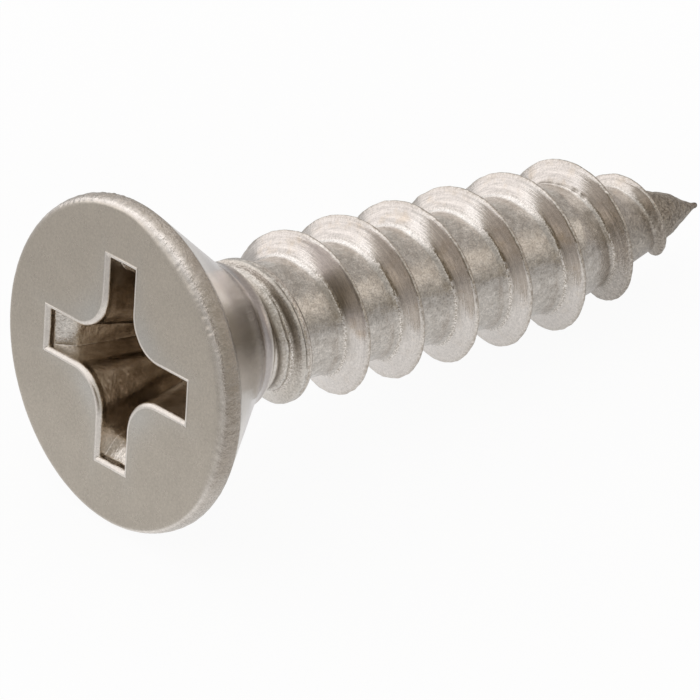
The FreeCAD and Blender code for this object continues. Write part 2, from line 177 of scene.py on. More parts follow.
# Base tones, then the tone of each zone in the order in which they cover each other: zone, the pattern that
# mixes its two tones, and the tones.
PLAIN_TONES = ((0.74, 0.70, 0.655), (0.68, 0.64, 0.60))
ZONE_TONES = (
    ("flank", "flowing", (0.755, 0.715, 0.68), (0.71, 0.64, 0.565)),
    ("root", "mottled", (0.63, 0.595, 0.555), (0.505, 0.47, 0.43)),
    # painted highlight: a bright tone on the round foot of the hollow flank, upper side only, and on a strip
    # of the flanks
    ("painted_highlight", None, (0.90, 0.87, 0.84), None),
    ("crest", "speckled", (0.50, 0.44, 0.38), (0.70, 0.66, 0.615)),
    # painted shade: a dark brown tone just behind each crest, where the crest shades the root
    ("shade_behind_crest", None, (0.36, 0.31, 0.245), None),
    # painted shade: a darker tone on the neck and the lower countersink under the head
    ("neck", None, (0.48, 0.44, 0.425), None),
    ("face", "lowered", (0.595, 0.54, 0.467), (0.45, 0.41, 0.355)),
    # painted reflection: a cooler, lighter tone on the swells of the face beside the wings
    ("pressed", None, (0.555, 0.535, 0.50), None),
    ("rim", "patched", (0.49, 0.44, 0.385), (0.57, 0.52, 0.47)),
    # painted highlight, over some wear: a bright tone on the edge of the rim and on the bevel of the recess's
    # mouth
    ("edge", None, (0.95, 0.905, 0.86), None),
    ("start", "speckled", (0.53, 0.48, 0.42), (0.64, 0.595, 0.54)),
    # wear on the last turns, with painted shade: stronger on the side away from the top
    ("wear_and_painted_light", "speckled", (0.51, 0.455, 0.40), (0.64, 0.59, 0.535)),
    ("rough", "patched", (0.62, 0.585, 0.535), (0.74, 0.71, 0.67)),
    # a stain on one turn of the start, and painted shade on the flanks' feet, the neck and one side of the
    # rim
    ("stain", None, (0.34, 0.30, 0.25), None),
    ("foot", "dusted", (0.42, 0.37, 0.31), (0.86, 0.82, 0.78)),
    # painted shade: a very dark tone in the sunk grooves of the start and in the crease
    ("shaded_groove", None, (0.20, 0.17, 0.135), None),
    ("recess", "patched", (0.52, 0.45, 0.365), (0.655, 0.58, 0.495)),
    # painted highlight on the sloping shelf at the end of each wing
    ("end", None, (0.80, 0.76, 0.71), None),
    # a dark tone on the point, and painted shade on the last turns away from the top
    ("tip", "speckled", (0.28, 0.24, 0.20), (0.40, 0.355, 0.30)),
)
# What each zone adds to the strength of the fine grain in the tone, to the roughness and to the relief.
GRAIN = 0.7
ZONE_GRAIN = {"root": 0.75, "start": 0.25, "tip": 0.8, "crest": 0.5, "rim": 0.2, "recess": 0.4, "wear_and_painted_light": 0.3,
              "face": -0.1}
ROUGHNESS = (0.13, 0.21)
ZONE_ROUGHNESS = {"root": 0.04, "face": 0.12, "tip": 0.2, "neck": -0.035, "start": 0.08, "wear_and_painted_light": 0.1,
                  "rim": 0.04}
RELIEF = 0.10
ZONE_RELIEF = {"root": 0.45, "rim": 2.4, "tip": 1.2, "recess": 0.8, "crest": 0.9, "start": 0.7, "wear_and_painted_light": 0.4,
               "rough": 0.8, "neck": 0.15}
RELIEF_HEIGHT = 0.000012  # in metres

# Soft lights of the room, each over the ones before: azimuth from +Y towards +X, elevation, angles from its
# middle to where it starts to fade and to its edge, colour.
SOFT_LIGHTS = (
    (167, 1, 5, 36, (0.41, 0.37, 0.31)),
    (89, 3, 36, 50, (0.525, 0.49, 0.46)),
    (12, 5, 10, 45, (0.84, 0.83, 0.82)),
    (-30, 40, 32, 66, (1.09, 1.055, 1.04)),
    (3, 72, 5, 45, (1.10, 1.07, 1.05)),
    (125, 27, 3, 20, (0.92, 0.85, 0.77)),
    (-108, 11, 20, 37, (0.17, 0.14, 0.10)),
)
ROOM_LIGHT = (0.60, 0.585, 0.555)

# The floor, in metres: its paper, its glow in reflections, a brighter strip of that on the window's side, and
# how white the camera sees the paper by the screw.
FLOOR_SIZE = 6
PAPER = (0.88, 0.88, 0.885, 1)
GLOW_CENTRE = (-0.005, 0, 0)
GLOW_REACH = 0.014
GLOW_NEAR = 0.74
GLOW_FAR = 0.32
GLOW_SHARE = 0.6
WINDOW_AZIMUTH = -46
WINDOW_ANGLES = (22, 8)
WINDOW_DISTANCES = (0.03, 0.055)
WINDOW_GLOW = 0.75
SHADOW_DISTANCES = (0.010, 0.035)
SHADOW_WHITE = 0.94

# The camera looks at a point beside the middle of the face, from the photo's angle, with a long lens. These
# distances are in metres.
VIEW_AZIMUTH = math.radians(-38.96)
VIEW_ELEVATION = math.radians(34.0)
AIM_RIGHT = 0.005518
AIM_UP = 0.000382
VIEW_DISTANCE = 0.335
IMAGE_WIDTH = 700
FOCAL_PIXELS = 14286
SENSOR_WIDTH = 36


def step(value, low, high):
    """Smooth step from 0 at one value to 1 at another, which may be the smaller one."""
    share = np.clip((value - low) / (high - low), 0, 1)
    return share * share * (3 - 2 * share)


def window(value, low, full, fading, gone):
    """Smooth steps up and down again."""
    return step(value, low, full) * (1 - step(value, fading, gone))


def bump(value, centre, width):
    """A smooth hump of height 1."""
    return np.exp(-((value - centre) / width) ** 2)


def facing(angle, direction, low, high):
    """How far an angle points in a direction, as a smooth step between two cosines."""
    return step(np.cos(angle - math.radians(direction)), low, high)


def soft_max(one, other, blend):
    """The larger of two values, rounded where they cross."""
    return blend * np.logaddexp(one / blend, other / blend)


def noise(points, cell, seed):
    """Smooth random values from -1 to 1 in space, from a lattice with this spacing."""
    place = points / cell + seed * 13.7
    low = np.floor(place).astype(np.int64)
    part = place - low
    part = part * part * (3 - 2 * part)
    total = np.zeros(points.shape[:-1])
    for corner in np.ndindex(2, 2, 2):
        key = low + np.array(corner)
        mixed = key[..., 0] * 73856093 ^ key[..., 1] * 19349663 ^ key[..., 2] * 83492791 ^ (seed * 2654435)
        mixed = (mixed ^ (mixed >> 13)) * 1274126177 & 0x7FFFFFFF
        value = ((mixed ^ (mixed >> 15)) & 0xFFFF) / 32767.5 - 1
        total += value * np.prod(np.where(corner, part, 1 - part), -1)
    return total


def around(radius, angle, depth):
    """Points of the screw's own frame from radius, angle and depth."""
    return np.stack([radius * np.cos(angle), radius * np.sin(angle), depth + 0 * radius], -1)


def base_radius(depth):
    """Radius of the blank under the head: countersink, fillet, neck, step, core and point."""
    corner = RIM_LAND + (SINK_TOP - NECK_RADIUS) / SINK_SLOPE
    centre = corner + NECK_FILLET * math.tan(HALF_SINK / 2)
    span = NECK_FILLET * math.sin(HALF_SINK)
    cone = SINK_TOP - (depth - RIM_LAND) * SINK_SLOPE
    inside = np.clip(centre - depth, 0, span)
    hollow = NECK_RADIUS + NECK_FILLET - np.sqrt(NECK_FILLET ** 2 - inside ** 2)
    neck = np.where(depth < centre - span, cone, hollow)
    core = np.interp(TIP_END - depth, *zip(*POINT_PROFILE))
    return neck + (core - neck) * step(depth, NECK_EDGE + 0.04, NECK_EDGE + 0.32)


def crest_radius(depth):
    """Radius of the crest at a depth: it grows out of the neck, thins slightly and runs down the point."""
    growth = step(depth, RIDGE_START, RIDGE_FULL)
    body = np.interp(depth, [RIDGE_FULL, POINT_START], [CREST_RADIUS, POINT_RADIUS])
    risen = NECK_RADIUS - RIDGE_SINK + (body - NECK_RADIUS + RIDGE_SINK) * growth
    left = np.clip((LENGTH - depth) / (LENGTH - POINT_START), 0, 1)
    return risen * left ** POINT_CURVE - RUNOUT_DROP * step(depth, RIDGE_STOP - 0.5, RIDGE_STOP + 0.1)


def crest_half(turn):
    """Half the width of a crest, which is blunter where the thread starts."""
    return CREST_HALF + BLUNT_HALF * (1 - step(turn, -0.25, 0.35))


def flank_run(fall):
    """How far along the axis the flank that faces the head runs while it falls this much."""
    return np.interp(fall, FLANK_FALL, FLANK_RUN)


def uneven(grid, name):
    """How far the surface stands out at random at one kind of place."""
    slow, fine, grain = UNEVEN[name]
    return slow * grid.wave + fine * grid.fine + grain * grid.grain


def thread_grid():
    """Places of a grid that follows the thread: each column's rows go from one crest to the next.

    A row lies some way past one crest and ahead of the next one, which is a turn further on.
    """
    grid = SimpleNamespace()
    grid.first = math.floor((SEAM - PITCH - FIRST_CREST) / PITCH * SHANK_COLUMNS)
    last = math.ceil((LENGTH - FIRST_CREST) / PITCH * SHANK_COLUMNS)
    grid.turn = np.arange(grid.first, last + 1)[:, None] / SHANK_COLUMNS
    grid.next_turn = grid.turn + 1
    grid.crest = FIRST_CREST + PITCH * grid.turn
    grid.top, grid.next_top = crest_radius(grid.crest), crest_radius(grid.crest + PITCH)
    grid.half, grid.next_half = crest_half(grid.turn), crest_half(grid.next_turn)
    grid.widening = 1 + 0.9 * step(grid.next_turn, *WIDE_TURNS)

    root = base_radius(grid.crest + PITCH / 2)
    tip_foot = grid.half + np.maximum(grid.top - root, LEAST_RIDGE) * TIP_FLANK
    run = flank_run(np.maximum(grid.next_top - root, LEAST_RIDGE)) * grid.widening
    head_foot = np.maximum(PITCH - grid.next_half - run - FLANK_MARGIN, 0.65)
    early = 1 - step(grid.next_turn, 0.0, 0.4)
    # Where the rows gather: both edges of the crests and both feet, kept apart where the ridge is low.
    marks = [0 * grid.turn, grid.half, np.minimum(tip_foot, 0.6),
             head_foot * (1 - early) + (PITCH - 0.95) * early,
             (PITCH - grid.next_half) * (1 - early) + (PITCH - 0.03) * early, PITCH + 0 * grid.turn]
    rows = []
    for low, high, count in zip(marks, marks[1:], ROW_COUNTS):
        rows += [low + (high - low) * part / count for part in range(count)]
    grid.past = np.concatenate(rows, 1)
    grid.ahead = PITCH - grid.past
    grid.depth = grid.crest + grid.past
    grid.angle = 2 * math.pi * grid.turn + 0 * grid.past
    grid.upper = facing(grid.angle, TOP, 0.35, 0.85)
    return grid


def shape_core(grid):
    """The core with its waves and pits, and the round foot of the flank that faces the head."""
    base = base_radius(grid.depth)
    grid.spot = around(base, grid.angle, grid.depth)
    grid.wave = noise(grid.spot, 0.55, 1)
    grid.fine = noise(grid.spot, 0.16, 2)
    grid.grain = noise(grid.spot, 0.075, 3)
    grid.rolled = step(grid.depth, NECK_EDGE + 0.3, NECK_EDGE + 0.9)
    base = base + grid.rolled * uneven(grid, "core")
    pointed = step(grid.depth, LENGTH - 1.9, LENGTH - 1.3) * step(LENGTH - grid.depth, 0.1, 0.4)
    base = base + pointed * uneven(grid, "point")
    grid.height = step(grid.next_top - base, 0.1, 0.35)
    run = flank_run(grid.next_top - base - LEAST_RIDGE) * grid.widening
    grid.lip_place = grid.ahead - grid.next_half - run
    grid.by_next = grid.ahead < PITCH * 0.75
    swell = np.clip(1 - grid.lip_place / FOOT_REACH, 0, 1.2) ** 2 * grid.by_next
    grid.base = base + grid.height * FOOT_SWELL * swell


def shape_ridge(grid):
    """The ridge over the core: a straight flank towards the tip, a hollow one, and nicks on the crest."""
    run = CREST_ROUND * np.logaddexp(0, (grid.past - grid.half) / CREST_ROUND)
    tip_side = grid.top - run / TIP_FLANK
    run = CREST_ROUND * np.logaddexp(0, (grid.ahead - grid.next_half) / CREST_ROUND) / grid.widening
    fall = np.interp(run, FLANK_RUN, FLANK_FALL) + np.maximum(run - FLANK_RUN[-1], 0) * 1.2
    ridge = np.maximum(tip_side, grid.next_top - fall)
    on_crest = np.maximum(bump(grid.past, 0, 0.06), bump(grid.ahead, 0, 0.06))
    ridge = ridge + on_crest * uneven(grid, "crest") - on_crest ** 4 * 0.004
    grid.radius = soft_max(grid.base, ridge, FOOT_ROUND)


def shape_lip(grid):
    """The ragged line where the hollow flank meets its round foot, and the crease sunk into one turn, which
    the zones darken with painted shade.
    """
    grid.lip = bump(grid.lip_place, 0.0, 0.028) * grid.height
    ragged = noise(grid.spot, 0.11, 5) + 0.6 * noise(grid.spot, 0.055, 6)
    crease = bump(grid.lip_place, 0.0, 0.03) * grid.height * grid.upper
    grid.crease = crease * window(grid.next_turn, *CREASE_TURNS) * np.clip(0.7 + ragged, 0, 1)
    grid.radius = grid.radius + grid.lip * LIP_HEIGHT * ragged * (1 - 0.75 * grid.upper)
    grid.radius = grid.radius - CREASE_DEPTH * grid.crease


def shape_start(grid):
    """The half rolled start: a ring on the neck, a groove, a rough ridge, a second groove, an overlap."""
    place = np.interp(grid.next_turn, ROUGH_TURNS, ROUGH_PLACES)
    grid.near = window(grid.next_turn, *START_TURNS)
    shaded_groove = grid.near * bump(grid.ahead, place + 0.18, 0.07)
    second = window(grid.next_turn, *GROOVE_TURNS) * bump(grid.ahead, 0.185, 0.036)
    overlap = window(grid.next_turn, *OVERLAP_TURNS) * bump(grid.ahead, 0.03 + 0.02 * grid.fine, 0.012)
    grid.ring = bump(grid.depth, NECK_EDGE + 0.09, 0.08)
    grid.rough = grid.near * bump(grid.ahead, place, 0.055)
    grid.crumbled = bump(grid.ahead, 0.0, 0.2) * (1 - step(grid.next_turn, 0.0, 0.35))
    grid.crumbled = grid.crumbled * step(grid.next_turn, -0.8, -0.5)
    grid.grooves = shaded_groove + second + overlap

    raised = RING_HEIGHT * bump(grid.depth, NECK_EDGE, 0.05) + grid.ring * uneven(grid, "ring")
    raised = raised + grid.rough * (ROUGH_HEIGHT + uneven(grid, "rough"))
    raised = raised + grid.crumbled * uneven(grid, "crumbled")
    sunk = shaded_groove * GROOVE_DEPTH + second * SECOND_DEPTH + overlap * OVERLAP_DEPTH
    grid.radius = grid.radius + raised - sunk


def close_ends(grid):
    """The ball on the tip, and the plain neck at the seam with the head."""
    ball_centre = TIP_END - TIP_RADIUS
    depth = np.clip(grid.depth, SEAM, TIP_END)
    ball = np.sqrt(np.clip(TIP_RADIUS ** 2 - np.clip(depth - ball_centre, 0, None) ** 2, 0, None))
    radius = np.where(depth > ball_centre, ball, np.clip(grid.radius, TIP_RADIUS, None))
    grid.radius = np.where(depth <= SEAM + 1e-6, base_radius(SEAM), radius)
    grid.depth = depth


def shank_zones(grid):
    """Strength of each zone on the points of the grid."""
    turn, next_turn, ahead, upper, height = grid.turn, grid.next_turn, grid.ahead, grid.upper, grid.height
    lower = facing(grid.angle, TOP - 180, 0.25, 0.85)
    not_top = 1 - facing(grid.angle, TOP, -0.1, 0.6)
    above_lip = step(grid.lip_place, 0.01, -0.01)
    flank = height * above_lip * step(ahead, grid.next_half * 0.6, grid.next_half + 0.03)
    on_crest = np.maximum(bump(grid.past, 0, grid.half * 0.9), bump(ahead, 0, grid.next_half * 0.9))
    first_turns = 1 - step(next_turn, -0.1, 0.25)
    root = step(grid.past, grid.half, grid.half + 0.2) * step(grid.lip_place, 0.0, 0.05)
    behind_crest = bump(grid.past, 0.045, 0.03) * step(grid.crest, 4.2, 4.8)
    under_lip = step(grid.lip_place, -0.02, 0.02) * (1 - step(grid.lip_place, 0.07, 0.2))
    shaded_foot = facing(grid.angle, SHADED, 0.8, 0.97) * bump(grid.lip_place, -0.03, 0.06) * height
    last_turns = 0.1 * step(next_turn, 4.7, 5.3) + 0.8 * step(next_turn, 6.2, 6.5)
    point = np.maximum(step(turn, 6.2, 6.4) * step(grid.past, grid.half, grid.half + 0.06),
                       step(grid.depth, LENGTH - 1.2, LENGTH - 1.0))
    zones = {
        "crest": on_crest * step(grid.crest, 3.2, 4.4),
        "root": root * grid.rolled,
        "streaky": flank * (1 - 0.75 * lower),
        "flank": flank,
        "foot": grid.lip * (1 - 0.7 * upper),
        # Painted shade just behind each crest, where the crest would shade the root; less of it on the upper
        # side.
        "shade_behind_crest": 0.9 * behind_crest * (1 - (0.6 - 0.5 * step(turn, 4.6, 5.2)) * upper),
        # Painted highlight: a bright tone on the round foot of the hollow flank on the upper side only, and
        # on the flanks in one direction.
        "painted_highlight": (1 - 0.15 * step(next_turn, 4.9, 5.3)) * height * under_lip * upper
                + 0.8 * height * above_lip * facing(grid.angle, PAINTED_SHEEN, 0.95, 0.99),
        # Painted shade in the sunk grooves of the start and in the crease.
        "shaded_groove": np.clip(grid.grooves + 0.8 * grid.crease, 0, 1),
        "rough": np.clip(grid.rough + grid.crumbled + 0.85 * grid.ring, 0, 1),
        "start": np.clip(first_turns * bump(ahead, 0.0, 0.25) + grid.near * bump(ahead, 0.3, 0.3), 0, 1),
        # A stain on one turn near the start, and painted shade on the feet of the flanks on the shaded side.
        "stain": bump(turn, STAIN_TURN, 0.05) * bump(ahead, 0.24, 0.24) * (0.85 + 0.3 * grid.wave)
                 + 0.5 * shaded_foot * grid.rolled,
        # Wear on the last turns, with painted shade: it is stronger away from the top.
        "wear_and_painted_light": last_turns * (0.3 + 0.7 * not_top) * grid.by_next * step(grid.lip_place, 0.05, 0.0),
        # The dark point, and painted shade on the last turns away from the top.
        "tip": np.maximum(point, 0.5 * not_top * step(grid.depth, 13.6, 14.8)),
        # The neck under the head is darker: painted shade.
        "neck": 1 - step(grid.depth, NECK_EDGE - 0.05, NECK_EDGE + 0.05),
    }
    return {name: (values + 0 * grid.depth).ravel() for name, values in zones.items()}


def grid_faces(columns, rows):
    """Quads of the grid, in which the last row of a turn meets the first row of the next turn."""
    index = np.arange(columns * rows).reshape(columns, rows)
    above = np.empty_like(index)
    above[:, :-1] = index[:, 1:]
    above[:-SHANK_COLUMNS, -1] = index[SHANK_COLUMNS:, 0]
    above[-SHANK_COLUMNS:, -1] = index[-SHANK_COLUMNS:, -1]
    return np.stack([index[:-1], index[1:], above[1:], above[:-1]], -1)


def shank():
    """Points, zones and faces of the shank, with the faces of its two pieces apart."""
    grid = thread_grid()
    for shape in (shape_core, shape_ridge, shape_lip, shape_start, close_ends):
        shape(grid)
    points = around(grid.radius, grid.angle, grid.depth)
    faces = grid_faces(*points.shape[:2])
    cut = round(PIECE_CUT * SHANK_COLUMNS) - grid.first
    return points.reshape(-1, 3), shank_zones(grid), faces[:cut].reshape(-1, 4), faces[cut:].reshape(-1, 4)


def wing_outline(reach, half, corner, centre):
    """A quarter of the cross from the middle of one wing's end to the next, then its three turned copies."""
    inner = half + corner
    bend = np.linspace(-math.pi / 2, -math.pi, ROUND_POINTS, endpoint=False)
    end, side = np.full(END_POINTS, reach), np.full(SIDE_POINTS, half)
    quarter = np.concatenate([
        np.stack([end, np.linspace(0, half, END_POINTS, endpoint=False)], -1),
        np.stack([np.linspace(reach, inner, SIDE_POINTS, endpoint=False), side], -1),
        np.stack([inner + corner * np.cos(bend), inner + corner * np.sin(bend)], -1),
        np.stack([side, np.linspace(inner, reach, SIDE_POINTS, endpoint=False)], -1),
        np.stack([np.linspace(half, 0, END_POINTS, endpoint=False), end], -1),
    ])
    copies = []
    for count in range(4):
        cos, sin = round(math.cos(count * math.pi / 2)), round(math.sin(count * math.pi / 2))
        copies.append(quarter @ np.array([[cos, sin], [-sin, cos]]))
    return np.concatenate(copies) + centre


def recess_levels():
    """Outlines of the recess from the mouth down to the bottom, each with its depth."""
    levels = []
    for depth in (0.0, 0.012, 0.04, 0.075, 0.11, 0.16, 0.2, WALL_TOP):
        pull = MOUTH_BEVEL * (1 - math.sqrt(max(0, 1 - (1 - min(depth / MOUTH_BEVEL, 1)) ** 2)))
        levels.append((depth, WING_REACH + pull, WING_HALF + pull, WING_CORNER - pull))
    for depth in np.concatenate([np.linspace(WALL_TOP, 0.6, 12)[1:], np.linspace(0.6, FLOOR_DEPTH, 22)[1:]]):
        share = (depth - WALL_TOP) / (FLOOR_DEPTH - WALL_TOP)
        reach = np.interp(depth, WING_DEPTHS, WING_REACHES)
        corner = WING_CORNER - (WING_CORNER - FLOOR_CORNER) * share
        levels.append((depth, reach, WING_HALF - (depth - WALL_TOP) * WING_SIDE, corner))
    _, reach, half, corner = levels[-1]
    for share in (0.33, 0.66, 1.0):
        narrowed = reach + (TOE_REACH - reach) * share
        levels.append((FLOOR_DEPTH + TOE_HEIGHT * share, narrowed, half - 0.02 * share, corner - 0.2 * share))
    toe_depth, *toe = levels[-1]
    for share in (0.4, 0.7, 0.9):
        levels.append((toe_depth + PIT_HEIGHT * share, *[size * (1 - share) for size in toe]))
    centre = OFF_CENTRE * np.array([math.cos(OFF_DIRECTION), math.sin(OFF_DIRECTION)])
    return [(depth, wing_outline(*sizes, centre)) for depth, *sizes in levels]


class Rings:
    """Closed rings of points, one after the other, with the strengths of the zones on them."""

    def __init__(self):
        self.rings = []
        self.zones = {name: [] for name in HEAD_ZONES}

    def add(self, points, **values):
        self.rings.append(points)
        for name, strengths in self.zones.items():
            strengths.append(values.get(name, 0.0) + np.zeros(len(points)))

    def faces(self):
        """Quads between rings of equal counts, triangles where the next one has fewer, and the bottom."""
        starts = np.cumsum([0] + [len(ring) for ring in self.rings])
        quads, triangles = [], []
        for index, (ring, following) in enumerate(zip(self.rings, self.rings[1:])):
            one, other = starts[index], starts[index + 1]
            count = len(following)
            place = np.arange(count)
            ahead = (place + 1) % count
            if len(ring) == count:
                quads.append(np.stack([one + place, one + ahead, other + ahead, other + place], -1))
                continue
            times = len(ring) // count
            for part in range(times):
                left, right = one + place * times + part, one + (place * times + part + 1) % len(ring)
                target = ahead if 2 * part >= times else place
                triangles.append(np.stack([left, right, other + target], -1))
            middle = one + place * times + (times + 1) // 2
            triangles.append(np.stack([other + place, middle, other + ahead], -1))
        return [*np.concatenate(quads), *np.concatenate(triangles), np.arange(len(self.rings[0]))[::-1]]


def add_recess(rings):
    """Rings from the bottom of the recess up to its ragged mouth, whose outline is given back."""
    levels = recess_levels()
    for depth, outline in reversed(levels):
        points = np.concatenate([outline, np.full((len(outline), 1), depth)], 1)
        away = outline / np.linalg.norm(outline, axis=1)[:, None]
        waves = noise(points, 0.16, 7) * 0.008 + noise(points, 0.45, 8) * 0.012
        ragged = MOUTH_RAGGED * noise(points, 0.22, 16) * bump(depth, 0.03, 0.04)
        points[:, :2] += away * (waves * min(depth / 0.3, 1) + ragged)[:, None]
        inside = step(depth, 0.06, 0.12)
        shelf_highlight = bump(depth, 0.38, 0.2) * step(np.abs(outline).max(1), 1.7, 2.0)
        # Painted highlight: a bright tone on the bevel of the mouth, and on the sloping shelf at the end of
        # each wing.
        rings.add(points, face=1 - inside, edge=0.7 * (1 - inside), recess=inside, end=shelf_highlight)
    return levels[0][1]


def add_face(rings, mouth, even, flat):
    """Rings over the face, which swells slightly between the wings where the metal was pressed aside; a
    cooler, lighter tone there is a painted reflection.
    """
    start = np.unwrap(np.arctan2(mouth[:, 1], mouth[:, 0]))
    start -= 2 * math.pi * round(start[0] / (2 * math.pi))
    reach = np.linalg.norm(mouth, axis=1)
    for share in (0.01, 0.03, 0.06, 0.1, 0.15, 0.22, 0.3, 0.4, 0.5, 0.6, 0.7, 0.8, 0.9, 0.97):
        angle = start + (even - start) * share ** 1.5
        radius = reach + (flat - reach) * share
        points = around(radius, angle, 0 * radius)
        beside = radius - reach
        between = np.sin(2 * angle) ** 2
        swell = FACE_SWELL * bump(beside, 0.0, 0.3) * between + FACE_WAVE * noise(points, 1.3, 9)
        points[:, 2] -= swell * (1 - step(share, 0.7, 1.0)) - FACE_DEPTH
        rings.add(points, face=1.0, pressed=0.9 * between * bump(beside, 0.1, 0.45))


def rim_dents(even, across, hammered):
    """How far the tumbled rim is pushed, with the patterns of its small dents and of a slower wave."""
    spot = around(np.full(len(even), HEAD_RADIUS), even, across * 0.4)
    dents = noise(spot, 0.12, 12) * 0.6 + noise(spot, 0.07, 13) * 0.6
    flow = noise(spot, 0.5, 14)
    depth = (DENT_DEPTH + DENT_CHANGE * flow) * hammered
    return depth * np.minimum(dents - DENT_SHIFT, DENT_LIMIT), dents, flow


def add_rim(rings, even, flat):
    """Rings over the rounded edge, a curve with one control point, and down the crowned rim."""
    hammered = 0.3 + 0.7 * facing(even, HAMMERED, -0.2, 0.4)
    # Painted light on the rim: a highlight over the whole rim on one side, shade on another, and highlights
    # on its edge over an even wear.
    bright = facing(even, RIM_HIGHLIGHT, 0.75, 0.95)
    rim_shade = 0.45 * facing(even, SHADED_RIM, 0.35, 0.9)
    wear_and_painted_light = sum(strength * facing(even, *place) for *place, strength in EDGE_HIGHLIGHTS)
    wear_and_painted_light = (LEAST_WEAR + wear_and_painted_light) * (1 - rim_shade)

    drop = RIM_CROWN - EDGE_DEPTH
    span = math.sqrt(RIM_ARC ** 2 - drop ** 2)
    land = HEAD_RADIUS - RIM_ARC + span
    lean = drop / span
    corner = (land - lean * (EDGE_DEPTH - FACE_DEPTH + EDGE_SLOPE * flat)) / (1 - lean * EDGE_SLOPE)
    middle = FACE_DEPTH + EDGE_SLOPE * (corner - flat)
    for share in np.linspace(0.05, 1, 12):
        weights = (1 - share) ** 2, 2 * share * (1 - share), share ** 2
        radius = weights[0] * flat + weights[1] * corner + weights[2] * land - RIM_INSET
        depth = weights[0] * FACE_DEPTH + weights[1] * middle + weights[2] * EDGE_DEPTH
        pushed, dents, _ = rim_dents(even, radius + depth, hammered)
        pushed = pushed * step(share, 0.0, 0.35)
        edge = np.maximum(wear_and_painted_light * bump(share, 0.62, 0.42), 0.7 * bright * step(share, 0.1, 0.5))
        rings.add(around(radius + pushed * share, even, depth - pushed * (1 - share)), face=1 - share,
                  rim=step(share, 0.2, 0.9), edge=edge * (0.85 + 0.3 * dents), stain=rim_shade * share)

    for depth in np.linspace(EDGE_DEPTH, RIM_LAND, 15)[1:]:
        radius = HEAD_RADIUS - RIM_ARC + math.sqrt(RIM_ARC ** 2 - (depth - RIM_CROWN) ** 2) - RIM_INSET
        pushed, dents, flow = rim_dents(even, radius + depth, hammered)
        points = around(radius + pushed, even, depth)
        points[:, 2] += RIM_WAVE * flow * step(depth, 0.3, RIM_LAND)
        edge = np.maximum(wear_and_painted_light * bump(depth, EDGE_DEPTH * 0.6, 0.08), 0.7 * bright)
        rings.add(points, rim=1.0, edge=edge * (0.8 + 0.3 * dents), stain=rim_shade)


def add_countersink(rings):
    """Rings down the countersink and the fillet to the seam on the neck."""
    angle = 2 * math.pi * np.arange(SHANK_COLUMNS) / SHANK_COLUMNS
    # Painted shade on one side of the countersink and the neck.
    shaded = 0.75 * facing(angle, SHADED, 0.94, 0.99)
    cone = np.linspace(RIM_LAND + 0.13, 2.1, 26)
    for depth in np.concatenate([[RIM_LAND + 0.03, RIM_LAND + 0.07], cone, np.linspace(2.15, SEAM, 18)]):
        radius = base_radius(depth) + 0 * angle
        wavy = step(depth, RIM_LAND, RIM_LAND + 0.3) * (1 - step(depth, 2.4, 2.8))
        radius = radius + SINK_WAVE * wavy * noise(around(radius, angle, depth), 0.9, 15)
        rings.add(around(radius, angle, depth), rim=1 - step(depth, RIM_LAND, RIM_LAND + 0.15), stain=shaded)


def head():
    """Points, faces and zones of the head, from the bottom of the recess out over the face to the neck."""
    even = 2 * math.pi * np.arange(RIM_COLUMNS) / RIM_COLUMNS
    flat = FLAT_RADIUS - SOFT_EDGE * facing(even, SOFT, 0.42, 0.82)
    rings = Rings()
    mouth = add_recess(rings)
    add_face(rings, mouth, even, flat)
    add_rim(rings, even, flat)
    add_countersink(rings)
    points = np.concatenate(rings.rings)
    zones = {name: np.concatenate(strengths) for name, strengths in rings.zones.items()}
    # Painted shade: the countersink under the head takes the neck's darker tone.
    zones["neck"] = step(points[:, 2], 0.7, 1.6) * (zones["recess"] == 0) * (zones["face"] == 0)
    return points, rings.faces(), zones


def lying_frame(record):
    """From the screw's own frame in millimetres to the frame in metres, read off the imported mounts."""
    mounts = {mount["name"]: mount for mount in record["mounts"]}
    centre = Vector(mounts["drive_recess"]["pos_m"])
    along = Vector(mounts["countersink"]["axis"]).normalized()
    side = Vector((0, 1, 0))
    down = side.cross(along)
    one = math.cos(LYING_ROLL) * down - math.sin(LYING_ROLL) * side
    other = math.sin(LYING_ROLL) * down + math.cos(LYING_ROLL) * side
    turned = Matrix((one, other, along)).transposed().to_4x4()
    return Matrix.Translation(centre) @ turned @ Matrix.Scale(0.001, 4)


def make_piece(name, points, faces, zones, place, material):
    """One smooth mesh with its zones, which rides the part's only body and replaces its solid."""
    mesh = bpy.data.meshes.new(name)
    mesh.from_pydata(points.tolist(), [], [[int(corner) for corner in face] for face in faces])
    angle = np.arctan2(points[:, 1], points[:, 0])
    across = np.hypot(points[:, 0], points[:, 1]) + points[:, 2] * (points[:, 2] < SEAM)
    swirl = np.stack([np.cos(angle), np.sin(angle), across], -1)
    for label, values in (("body", points), ("swirl", swirl)):
        attribute = mesh.attributes.new(label, "FLOAT_VECTOR", "POINT")
        attribute.data.foreach_set("vector", values.astype(np.float32).ravel())
    for zone in ZONES:
        attribute = mesh.attributes.new(zone, "FLOAT", "POINT")
        attribute.data.foreach_set("value", zones.get(zone, 0 * angle).astype(np.float32).ravel())
    work = bmesh.new()
    work.from_mesh(mesh)
    bmesh.ops.remove_doubles(work, verts=work.verts, dist=WELD)
    bmesh.ops.dissolve_degenerate(work, edges=work.edges, dist=SLIVER)
    bmesh.ops.recalc_face_normals(work, faces=work.faces)
    work.to_mesh(mesh)
    work.free()
    mesh.transform(place)
    mesh.update()
    for polygon in mesh.polygons:
        polygon.use_smooth = True
    mesh.materials.append(material)
    piece = bpy.data.objects.new(name, mesh)
    bpy.context.scene.collection.objects.link(piece)
    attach(piece, "root")
    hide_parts("wood_screw")
    print(name, sum(len(polygon.vertices) - 2 for polygon in mesh.polygons), "triangles")


